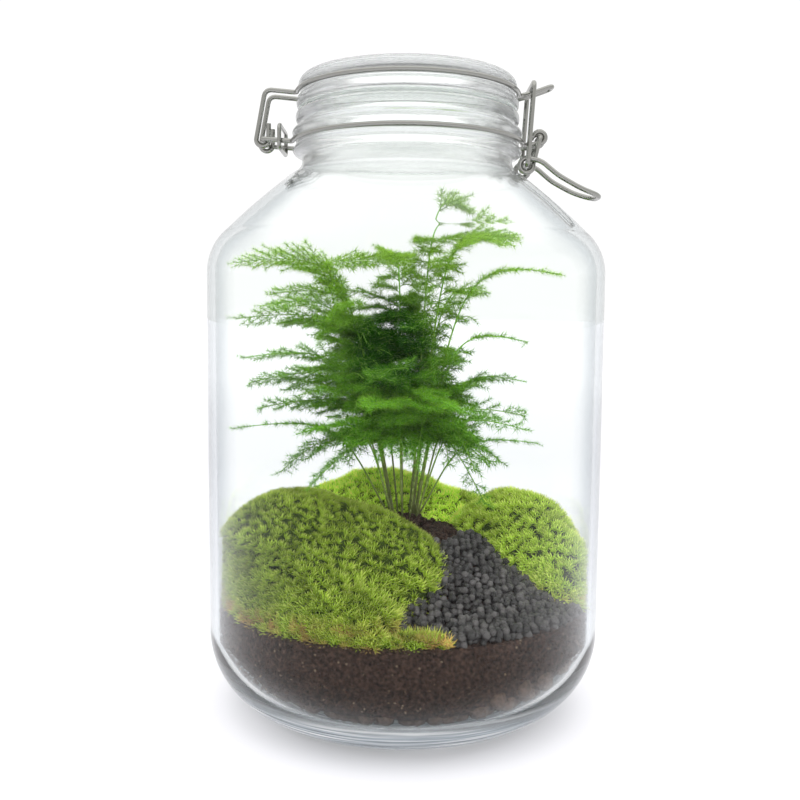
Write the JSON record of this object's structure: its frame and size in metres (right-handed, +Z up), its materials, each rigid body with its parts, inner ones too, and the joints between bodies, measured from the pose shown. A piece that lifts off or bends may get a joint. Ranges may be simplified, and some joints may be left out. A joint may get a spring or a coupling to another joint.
{
  "type": "glass plant terrarium",
  "caption": "Clip-top glass jar with a wire-latched hinged lid, planted with an asparagus fern over soil, moss mounds and black gravel.",
  "frame": {"origin": "centre of the foot ring's plane, on the jar's axis", "axes": "+Z up along the jar's axis, +X towards the latch, -X towards the lid's hinge"},
  "size_m": [0.176, 0.176, 0.2795],
  "materials": {
    "clear_glass": "clear, polished",
    "clear_rubber": "translucent, satin",
    "steel_wire": "bright drawn wire",
    "fired_clay": "rough",
    "humus": "crumbly, matt",
    "basalt_gravel": "tumbled",
    "moss": "soft, matt",
    "fern_green": "soft, matt"
  },
  "bodies": {
    "jar": {"jar_body": "clear_glass", "neck_ring": "steel_wire", "neck_ring_clip": "steel_wire", "drainage_layer": "fired_clay", "soil": "humus", "moss_mound_left": "moss", "moss_mound_back": "moss", "moss_mound_right": "moss", "gravel_path": "basalt_gravel", "fern_crown": "humus", "fern_frond_left_top": "fern_green", "fern_frond_left_high": "fern_green", "fern_frond_left_middle": "fern_green", "fern_frond_left_inner": "fern_green", "fern_frond_left_low": "fern_green", "fern_frond_left_front": "fern_green", "fern_frond_crest": "fern_green", "fern_frond_right_top": "fern_green", "fern_frond_runner": "fern_green", "fern_frond_right_high": "fern_green", "fern_frond_right_middle": "fern_green", "fern_frond_right_inner": "fern_green", "fern_frond_right_low": "fern_green", "fern_frond_right_tip": "fern_green", "fern_frond_back_top": "fern_green", "fern_frond_back_left": "fern_green", "fern_frond_back_right": "fern_green", "fern_frond_front": "fern_green", "fern_frond_front_right": "fern_green"},
    "lid": {"lid_glass": "clear_glass", "lid_gasket": "clear_rubber", "lid_wire": "steel_wire"},
    "lever": {"latch_lever": "steel_wire"},
    "bail": {"latch_bail": "steel_wire"}
  },
  "joints": [
    {"name": "lid_hinge", "type": "hinge", "parent": "jar", "child": "lid", "pos_m": [-0.0635, 0, 0.252], "axis": [0, -1, 0], "range_deg": [0, 105]},
    {"name": "lever_pivot", "type": "hinge", "parent": "jar", "child": "lever", "pos_m": [0.0582, 0, 0.2545], "axis": [0, -1, 0], "range_deg": [0, 63]},
    {"name": "bail_pivot", "type": "hinge", "parent": "lever", "child": "bail", "pos_m": [0.0523, 0, 0.2418], "axis": [0, -1, 0], "range_deg": [-84, 0]}
  ],
  "couplings": [
    {"joint": "lever_pivot", "follows": "lid_hinge", "ratio": 0.6},
    {"joint": "bail_pivot", "follows": "lid_hinge", "ratio": -0.8}
  ]
}
